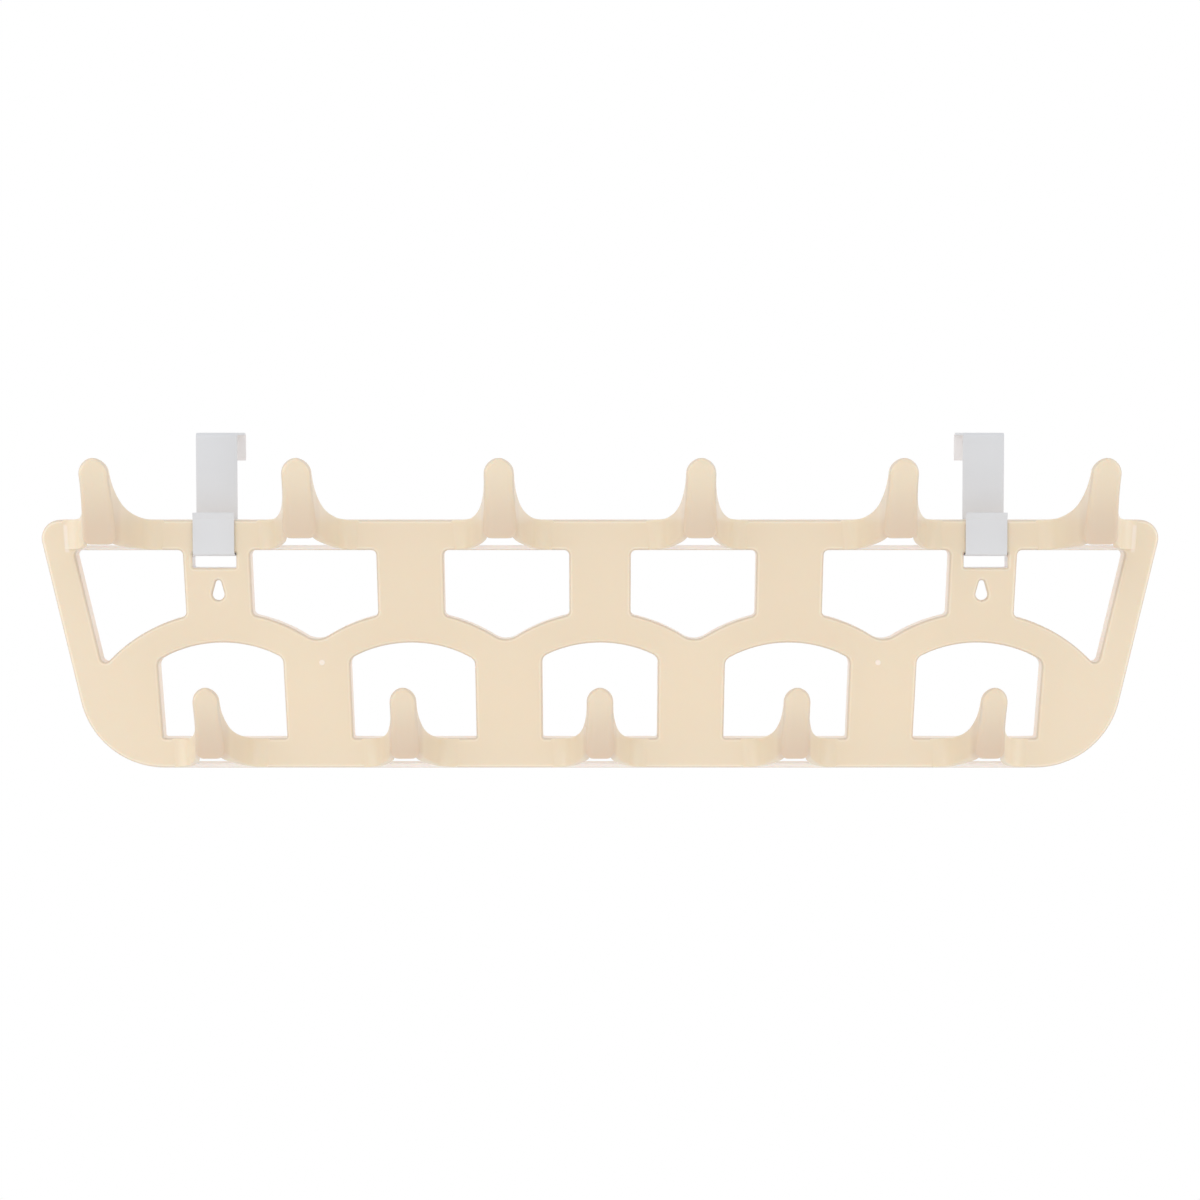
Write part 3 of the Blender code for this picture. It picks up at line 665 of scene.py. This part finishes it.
# %% [markdown]
# ## Windows
# Eleven windows leave a lattice of posts and arches. Under each arch a window stands on the lower
# rail. Between two posts an upper window dips into the valley between two arches, and at each end a
# slanted window follows the side. Only the right half and the middle are drawn, and the left half is
# mirrored. An arch leaves out its first or last points where a rounded corner takes their place.

# %% Window outlines
CORNER_CUT = 3


def upper_window(left_place, right_place, left_arch, right_arch):
    radius, corner = ARCH_OUTER_RADIUS, UPPER_WINDOW_CORNER
    left_foot = narrowed(left_place, RACK_FOOT + radius)
    right_foot = narrowed(right_place, RACK_FOOT + radius)
    half = (right_arch - left_arch) / 2
    valley = RACK_FOOT + math.sqrt((radius + VALLEY_RADIUS) ** 2 - half ** 2)
    lean = math.atan2(valley - RACK_FOOT, half)
    start = math.acos((right_foot - right_arch) / radius)
    stop = math.acos((left_foot - left_arch) / radius)
    corners = [(narrowed(left_place, UPPER_WINDOW_TOP), UPPER_WINDOW_TOP, corner),
               (narrowed(right_place, UPPER_WINDOW_TOP), UPPER_WINDOW_TOP, corner),
               (right_foot, arch_z(right_foot, right_arch, radius), corner)]
    corners += arc(right_arch, RACK_FOOT, radius, start, math.pi - lean, ARCH_STEPS)[CORNER_CUT:-1]
    corners += arc(left_arch + half, valley, VALLEY_RADIUS, -lean, lean - math.pi, CORNER_STEPS)
    corners += arc(left_arch, RACK_FOOT, radius, lean, stop, ARCH_STEPS)[1:-CORNER_CUT]
    corners.append((left_foot, arch_z(left_foot, left_arch, radius), corner))
    return rounded(corners)


def end_window():
    radius, corner, arch = ARCH_OUTER_RADIUS, UPPER_WINDOW_CORNER, 2 * ARCH_PITCH
    place = UPPER_POSTS[1][1]
    foot = narrowed(place, RACK_FOOT + radius)
    offset = side_x(RACK_FOOT) - SIDE_BAND_WIDTH - arch
    root = math.sqrt((SIDE_SLOPE * offset) ** 2 - (1 + SIDE_SLOPE ** 2) * (offset ** 2 - radius ** 2))
    height = (root - SIDE_SLOPE * offset) / (1 + SIDE_SLOPE ** 2)
    tip = math.atan2(height, offset + SIDE_SLOPE * height)
    corners = [(narrowed(place, UPPER_WINDOW_TOP), UPPER_WINDOW_TOP, corner),
               (side_x(UPPER_WINDOW_TOP) - SIDE_BAND_WIDTH, UPPER_WINDOW_TOP, corner),
               (arch + radius * math.cos(tip), RACK_FOOT + height, corner)]
    stop = math.acos((foot - arch) / radius)
    corners += arc(arch, RACK_FOOT, radius, tip, stop, ARCH_STEPS)[CORNER_CUT:-CORNER_CUT]
    corners.append((foot, arch_z(foot, arch, radius), corner))
    return rounded(corners)


def lower_window(left_place, right_place, arch):
    radius, foot = ARCH_INNER_RADIUS, LOWER_RAIL_TOP
    left_top = narrowed(left_place, RACK_FOOT + radius)
    right_top = narrowed(right_place, RACK_FOOT + radius)
    start, stop = (math.acos((place - arch) / radius) for place in (left_top, right_top))
    corners = [(right_top, arch_z(right_top, arch, radius), LOWER_WINDOW_TOP_CORNER),
               (narrowed(right_place, foot), foot, LOWER_WINDOW_FOOT_CORNER),
               (narrowed(left_place, foot), foot, LOWER_WINDOW_FOOT_CORNER),
               (left_top, arch_z(left_top, arch, radius), LOWER_WINDOW_TOP_CORNER)]
    corners += arc(arch, RACK_FOOT, radius, start, stop, ARCH_STEPS)[CORNER_CUT:-CORNER_CUT]
    return rounded(corners)


right_windows = [
    upper_window(CENTRE_POST_HALF, UPPER_POSTS[0][0], 0.0, ARCH_PITCH),
    upper_window(UPPER_POSTS[0][1], UPPER_POSTS[1][0], ARCH_PITCH, 2 * ARCH_PITCH),
    end_window(),
    lower_window(LOWER_POSTS[0][1], LOWER_POSTS[1][0], ARCH_PITCH),
    lower_window(LOWER_POSTS[1][1], LOWER_WINDOW_END, 2 * ARCH_PITCH),
]
middle_window = lower_window(-LOWER_POSTS[0][0], LOWER_POSTS[0][0], 0.0)
print("window outlines have", [len(points) for points in right_windows], "points")

# %% Solids from the windows


def window_solids(name, stations):
    """One object that holds a solid for each of the eleven windows."""
    solids = [slab(name, middle_window, stations)]
    for points in right_windows:
        solids.append(slab(name, points, stations))
        solids.append(copied(solids[-1], name, mirror=True))
    return joined(solids)


def pair(name, points, stations):
    """A solid on the right half and its mirror image."""
    first = slab(name, points, stations)
    return joined([first, copied(first, name, mirror=True)])


flared = rim(1)
through = [(BACK_Y + OVERRUN, 0.0)] + flared + [(FRONT_Y - OVERRUN, flared[-1][1])]
print("a window's solid has", len(through), "stations")

# %% [markdown]
# ## The frame
# The frame is an open-backed box, as moulded plastic is. First comes a solid blank with a rounded
# rim. A block for the space behind the front wall is cut away, after it has lost a skirt round every
# window and a wall round each strap slot. Then the windows are cut right through, with their front
# edges rounded by the same trick.

# %% Blank and hollow back
rack = slab("rack", rack_outline, [(BACK_Y, 0.0)] + rim(-1))
hollow = slab("hollow", rack_outline, [(BACK_Y + OVERRUN, -SKIRT), (FRONT_Y + FRONT_WALL, -SKIRT)])
carve(hollow, window_solids("skirts", [(BACK_Y + 2 * OVERRUN, SKIRT), (FRONT_Y, SKIRT)]))
high, low = SLOT_TOP + SKIRT, SLOT_FOOT - SKIRT
inner = narrowed(UPPER_POSTS[1][0], low) + SKIRT / 2
outer = narrowed(UPPER_POSTS[1][1], low) - SKIRT / 2
surround = [Vector((inner, high)), Vector((outer, high)), Vector((outer, low)), Vector((inner, low))]
carve(hollow, pair("slot_walls", surround, [(BACK_Y + 2 * OVERRUN, 0.0), (FRONT_Y, 0.0)]))
carve(rack, hollow)
carve(rack, window_solids("windows", through))
print("frame has", len(rack.data.polygons), "faces")

# %% Strap slots and keyholes
HEAD_STEPS = 36
NECK_STEPS = 16
inner, outer = STRAP_PLACE - SLOT_HALF_WIDTH, STRAP_PLACE + SLOT_HALF_WIDTH
slot = rounded([(outer, SLOT_TOP, SLOT_CORNER), (outer, SLOT_FOOT, SLOT_CORNER),
                (inner, SLOT_FOOT, SLOT_CORNER), (inner, SLOT_TOP, SLOT_CORNER)])
lean = math.asin((KEYHOLE_HEAD_RADIUS - KEYHOLE_NECK_RADIUS) / KEYHOLE_REACH)
neck_z = KEYHOLE_HEAD_Z + KEYHOLE_REACH
keyhole = arc(KEYHOLE_PLACE, KEYHOLE_HEAD_Z, KEYHOLE_HEAD_RADIUS, lean, -math.pi - lean, HEAD_STEPS)
keyhole += arc(KEYHOLE_PLACE, neck_z, KEYHOLE_NECK_RADIUS, math.pi - lean, lean, NECK_STEPS)
carve(rack, pair("slots", slot, through))
carve(rack, pair("keyholes", rounded(keyhole), through))
print("slots are", SLOT_HALF_WIDTH * 2000, "by", SLOT_HEIGHT * 1000, "mm")

# %% [markdown]
# ## Hooks
# A hook is a saddle: its top runs out level from the rail and sweeps up into a finger, while its
# sides draw in from a wide root. It is drawn as a row of rounded boxes from the rail to the tip,
# whose width and height follow two smooth curves. The space below the saddle is a second, smaller
# row of boxes, cut away. A fillet spreads the root where it meets the frame.

# %% Hook sizes
HOOK_REACH = 0.0570
NOSE_REACH = 0.0415
HOOK_WALL = 0.0020
TUCK = 0.0001
ROOT_FILLET = 0.0070
SADDLE_CORNER = 0.0012
FINGER_CORNER = 0.0024
NOSE_CORNER = 0.0042
ROOT_FOOT_CORNER = 0.0004
HOLLOW_CORNER = 0.0004
FINGER_THICKNESS = 0.0060
FINGER_ANGLE = math.radians(58)
FLARE_POWER = 1.8
SADDLE_LEAN = 0.40
SADDLE_POWER = 3.0
SADDLE_REACH = HOOK_REACH * 0.905
SADDLE_RISE_SHARE = 0.82
TIP_ROUNDNESS = 1.3
NOSE_RING = 0.70
NOSE_LEAN = 0.10
NOSE_LIFT = 0.37
FINGER_RUN = 0.36
TIP_END_ANGLE = math.radians(84)
HOLLOW_START = 0.0003
DOORWAY_INSET = 0.0003
DOORWAY_OVERLAP = 0.0006
BODY_FILLET_SHARES = (0.03, 0.10, 0.22, 0.40, 0.68)
HOLLOW_FILLET_SHARES = (0.12, 0.26, 0.45, 0.70)
RING_STEPS = 6
HOLLOW_STEPS = 2
ARM_RINGS = 18
FINGER_RINGS = 14
TIP_RINGS = 9
print("a saddle reaches", round(SADDLE_REACH * 1000, 1), "mm before the tip is rounded")

# %% The hook's curves


def blend(first, second, share):
    return first + (second - first) * share


class Hook:
    """The curves of one kind of hook: points are (reach in front of the rack, height over the rail)."""

    def __init__(self, rail_top, rail_height, rise, root_half, finger_half, flare, underside_rise):
        self.rail_top = rail_top
        self.rail_height = rail_height
        self.rise = rise
        self.root_half = root_half
        self.finger_half = finger_half
        self.flare = flare
        self.nose = Vector((NOSE_REACH, underside_rise - rail_height))

    def half_width(self, reach):
        """Seen from above, a hollow curve from the wide root to the narrow finger."""
        share = min(max(reach / self.flare, 0.0), 1.0)
        return blend(self.finger_half, self.root_half, (1 - share) ** FLARE_POWER)

    def root_flare(self, reach, wall):
        """The fillet where the hook meets the frame, outside it or a wall inside it."""
        left = min(max(ROOT_FILLET - reach, 0.0), ROOT_FILLET)
        radius = ROOT_FILLET + wall
        return radius - math.sqrt(radius ** 2 - left ** 2)

    def saddle(self, share):
        """Seen from the side, gentle at the rail and steep at the finger."""
        bend = blend(share ** SADDLE_POWER, share, SADDLE_LEAN)
        return Vector((SADDLE_REACH * share, self.rise * SADDLE_RISE_SHARE * bend))

    def slope(self, share):
        bend = blend(SADDLE_POWER * share ** (SADDLE_POWER - 1), 1.0, SADDLE_LEAN)
        return bend * self.saddle(1.0).y / SADDLE_REACH

    def direction(self):
        return Vector((math.cos(FINGER_ANGLE), math.sin(FINGER_ANGLE)))

    def finger_front(self):
        """The front of the finger, from the nose up to the start of the rounded tip."""
        along, end = self.direction(), self.saddle(1.0)
        end = end + Vector((along.y, -along.x)) * FINGER_THICKNESS
        lean = end - self.nose
        first = Vector((self.nose.x + lean.x * NOSE_LEAN, self.nose.y + lean.y * NOSE_LIFT))
        second = end - along * lean.length * FINGER_RUN
        return interpolate_bezier(self.nose, first, second, end, FINGER_RINGS + 1)

    def ring(self, top, foot, corners, steps=RING_STEPS, width_share=1.0, wall=0.0):
        """A rounded box between a point on the saddle and one on the underside."""
        middle, half = (top + foot) / 2, (top - foot) / 2
        height = half.length
        points = []
        for quarter, (side, up) in enumerate(((1, 1), (-1, 1), (-1, -1), (1, -1))):
            radius = min(corners[0] if up > 0 else corners[1], height)
            for step in range(steps + 1):
                angle = math.pi / 2 * (quarter + step / steps)
                point = middle + half * (up * (height - radius) + radius * math.sin(angle)) / height
                width = self.half_width(point.x) + self.root_flare(point.x, wall) - wall
                across = side * (width * width_share - radius) + radius * math.cos(angle)
                points.append(Vector((across, FRONT_Y - point.x, self.rail_top + point.y)))
        return points


print("hook curves ready")

# %% [markdown]
# The arm's rings run from inside the rail to the nose, where the underside ends. The finger's rings
# then swing from upright to square across the finger, and the tip's rings shrink like the slices of
# half an egg.

# %% The hook's solids


def hook_body(hook):
    """The outside of a hook, in the middle of the rack."""
    foot = Vector((-(EDGE_ROUND + TUCK), TUCK - hook.rail_height))
    arm_end = hook.saddle(NOSE_RING).x
    reaches = [foot.x, -TUCK] + [ROOT_FILLET * share for share in BODY_FILLET_SHARES]
    reaches += [blend(ROOT_FILLET, arm_end, index / ARM_RINGS) for index in range(ARM_RINGS + 1)]
    rings = []
    for reach in reaches:
        lift = TUCK * (1 - min(max(reach, 0.0) / ROOT_FILLET, 1.0))
        top = Vector((reach, hook.saddle(max(reach, 0.0) / SADDLE_REACH).y - lift))
        share = (reach - foot.x) / (arm_end - foot.x)
        corners = (SADDLE_CORNER, blend(ROOT_FOOT_CORNER, NOSE_CORNER, share ** 2))
        rings.append(hook.ring(top, foot.lerp(hook.nose, share), corners))
    front = hook.finger_front()
    for index in range(1, FINGER_RINGS + 1):
        share = index / FINGER_RINGS
        corners = (blend(SADDLE_CORNER, FINGER_CORNER, share), blend(NOSE_CORNER, FINGER_CORNER, share))
        rings.append(hook.ring(hook.saddle(blend(NOSE_RING, 1.0, share)), front[index], corners))
    rings += tip_rings(hook, hook.saddle(1.0), front[-1])
    return extruded("hook", rings)


def tip_rings(hook, top, foot):
    """The rounded end of the finger, from its last ring on."""
    middle, half, along = (top + foot) / 2, (top - foot) / 2, hook.direction()
    length = (hook.rise - middle.y) / along.y
    rings = []
    for index in range(1, TIP_RINGS + 1):
        angle = TIP_END_ANGLE * index / TIP_RINGS
        share = math.cos(angle)
        centre = middle + along * length * math.sin(angle)
        corners = (FINGER_CORNER * share, FINGER_CORNER * share)
        rings.append(hook.ring(centre + half * share, centre - half * share, corners,
                               width_share=share ** TIP_ROUNDNESS))
    return rings


def hook_hollow(hook):
    """The space under the saddle, with walls of even thickness, open below."""
    end = NOSE_REACH - HOOK_WALL
    reaches = [HOLLOW_START] + [ROOT_FILLET * share for share in HOLLOW_FILLET_SHARES]
    reaches += [blend(ROOT_FILLET, end, index / ARM_RINGS) for index in range(ARM_RINGS + 1)]
    rings = []
    for reach in reaches:
        share = reach / SADDLE_REACH
        ceiling = Vector((reach, hook.saddle(share).y - HOOK_WALL * math.hypot(1.0, hook.slope(share))))
        foot = Vector((reach, -hook.rail_height - OVERRUN))
        corners = (HOLLOW_CORNER, HOLLOW_CORNER)
        rings.append(hook.ring(ceiling, foot, corners, steps=HOLLOW_STEPS, wall=HOOK_WALL))
    return extruded("hook_hollow", rings)


def hook_doorway(hook):
    """The opening through the frame's front wall, behind the hook."""
    half, margin = hook.root_half - HOOK_WALL, SKIRT + DOORWAY_INSET
    high, low = hook.rail_top - margin, hook.rail_top - hook.rail_height + margin
    points = [Vector((half, high)), Vector((half, low)), Vector((-half, low)), Vector((-half, high))]
    stations = [(FRONT_Y + FRONT_WALL + OVERRUN, 0.0), (FRONT_Y - DOORWAY_OVERLAP, 0.0)]
    return slab("hook_doorway", points, stations)


UPPER_SHAPE = {"rise": 0.0302, "root_half": 0.0178, "finger_half": 0.0070, "flare": 0.0540}
LOWER_SHAPE = {"rise": 0.0293, "root_half": 0.0168, "finger_half": 0.0062, "flare": 0.0520}
upper = Hook(RACK_TOP, UPPER_RAIL_HEIGHT, underside_rise=0.0075, **UPPER_SHAPE)
end_hook = Hook(RACK_TOP, UPPER_RAIL_HEIGHT, underside_rise=0.0044, **UPPER_SHAPE)
lower = Hook(LOWER_RAIL_TOP, LOWER_RAIL_HEIGHT, underside_rise=0.0092, **LOWER_SHAPE)
print("three kinds of hook are ready")

# %% Eleven hooks
UPPER_PLACES = [number * HOOK_PITCH for number in (-1.5, -0.5, 0.5, 1.5)]
END_PLACES = [number * HOOK_PITCH for number in (-2.5, 2.5)]
LOWER_PLACES = [number * LOWER_HOOK_PITCH for number in (-2, -1, 0, 1, 2)]


def repeated(maker):
    """Makes a solid for each kind of hook and copies it to every place of that kind."""
    solids = []
    for hook, places in ((upper, UPPER_PLACES), (end_hook, END_PLACES), (lower, LOWER_PLACES)):
        pattern = maker(hook)
        solids += [copied(pattern, pattern.name, shift=place) for place in places]
        bpy.data.objects.remove(pattern, do_unlink=True)
    return joined(solids)


carve(rack, repeated(hook_body), "UNION")
carve(rack, repeated(hook_hollow))
carve(rack, repeated(hook_doorway))
print("rack with hooks has", len(rack.data.polygons), "faces")

# %% [markdown]
# ## Gate marks
# Plastic enters the mould through small gates. Where they were broken off, two low round marks are
# left on the face, between the outer arches.

# %% Gate marks
GATE_RADIUS = 0.00125
GATE_DEPTH = 0.0009
GATE_PROUD = 0.00015
GATE_SIDES = 40
GATE_BEVEL = 0.00012
gate_y = FRONT_Y - GATE_PROUD + GATE_DEPTH / 2
marks = []
for place in (-GATE_PLACE, GATE_PLACE):
    bpy.ops.mesh.primitive_cylinder_add(
        vertices=GATE_SIDES, radius=GATE_RADIUS, depth=GATE_DEPTH, location=(place, gate_y, GATE_Z),
        rotation=(math.pi / 2, 0.0, 0.0))
    mark = bpy.context.object
    only(mark)
    bpy.ops.object.transform_apply(location=True, rotation=True, scale=True)
    soften = mark.modifiers.new("soften", "BEVEL")
    soften.width = GATE_BEVEL
    soften.segments = 2
    bpy.ops.object.modifier_apply(modifier="soften")
    marks.append(mark)
carve(rack, joined(marks), "UNION")
print("gate marks stand", round(GATE_PROUD * 1000, 2), "mm proud")

# %% Finish the rack
RACK_SMOOTH_ANGLE = math.radians(32)
only(rack)
bpy.ops.object.shade_smooth_by_angle(angle=RACK_SMOOTH_ANGLE)
weigh = rack.modifiers.new("weigh", "WEIGHTED_NORMAL")
weigh.keep_sharp = True
weigh.weight = 60
bpy.ops.object.modifier_apply(modifier="weigh")
rack.data.materials.clear()
rack.data.materials.append(ivory.material)
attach(rack, "rack")
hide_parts("rack_moulding")
rack.data.calc_loop_triangles()
print("rack has", len(rack.data.loop_triangles), "triangles")

# %% [markdown]
# ## Straps
# A strap is one strip of steel, bent five times. Its side view is a line that starts at the foot of
# the tab behind the door and runs up, over the door's top, down to the slot, forward, and up in front
# as a J with a small lip. The line gets its thickness on both sides, and the profile is extruded
# across the strip's width. A very small bevel takes the sharpness off the edges, as enamel does.

# %% Strap sizes
STRAP_WIDTH = 0.0200
THICKNESS = 0.0012
BEND = 0.0016
BEND_STEPS = 10
DOOR = 0.0356
TAB_LENGTH = 0.0126
SLOT_GAP = 0.0003
PLATE_GAP = 0.0007
PLATE_HEIGHT = 0.0209
LIP_HEIGHT = 0.0028
LIP_FLARE = 0.0009
STRAP_BEVEL = 0.00022
BEVEL_ANGLE = math.radians(60)
STRAP_SMOOTH_ANGLE = math.radians(40)
HALF_THICKNESS = THICKNESS / 2
tab_y = DOOR + HALF_THICKNESS
foot_z = SLOT_TOP - SLOT_GAP - HALF_THICKNESS
plate_y = FRONT_Y - PLATE_GAP - HALF_THICKNESS
lip_z = foot_z + PLATE_HEIGHT - HALF_THICKNESS
strap_line = rounded([
    (tab_y, -TAB_LENGTH, 0.0), (tab_y, HALF_THICKNESS, BEND), (-HALF_THICKNESS, HALF_THICKNESS, BEND),
    (-HALF_THICKNESS, foot_z, BEND), (plate_y, foot_z, BEND), (plate_y, lip_z - LIP_HEIGHT, BEND),
    (plate_y - LIP_FLARE, lip_z, 0.0)], BEND_STEPS, closed=False)
print("the strap's line has", len(strap_line), "points")

# %% Straps


def thickened(line):
    """Both sides of a strip of even thickness along an open line."""
    left_side, right_side = [], []
    for index, point in enumerate(line):
        into = point - line[index - 1] if index else line[1] - point
        out_of = line[index + 1] - point if index + 1 < len(line) else into
        into, out_of = into.normalized(), out_of.normalized()
        normal = Vector((-into.y, into.x))
        mitre = (normal + Vector((-out_of.y, out_of.x))).normalized()
        step = mitre * HALF_THICKNESS / mitre.dot(normal)
        left_side.append(point + step)
        right_side.append(point - step)
    return left_side + list(reversed(right_side))


profile = thickened(strap_line)
edges = (STRAP_PLACE - STRAP_WIDTH / 2, STRAP_PLACE + STRAP_WIDTH / 2)
sides = [[Vector((edge, point.x, point.y)) for point in profile] for edge in edges]
strap = extruded("strap_right", sides)
only(strap)
ease = strap.modifiers.new("ease", "BEVEL")
ease.width = STRAP_BEVEL
ease.segments = 2
ease.limit_method = "ANGLE"
ease.angle_limit = BEVEL_ANGLE
bpy.ops.object.modifier_apply(modifier="ease")
bpy.ops.object.shade_smooth_by_angle(angle=STRAP_SMOOTH_ANGLE)
strap.data.materials.append(enamel.material)
twin = copied(strap, "strap_left", mirror=True)
for side_name, item in (("right", strap), ("left", twin)):
    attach(item, "strap_" + side_name)
    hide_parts("door_strap_" + side_name)
    print(item.name, "has", len(item.data.polygons), "faces")
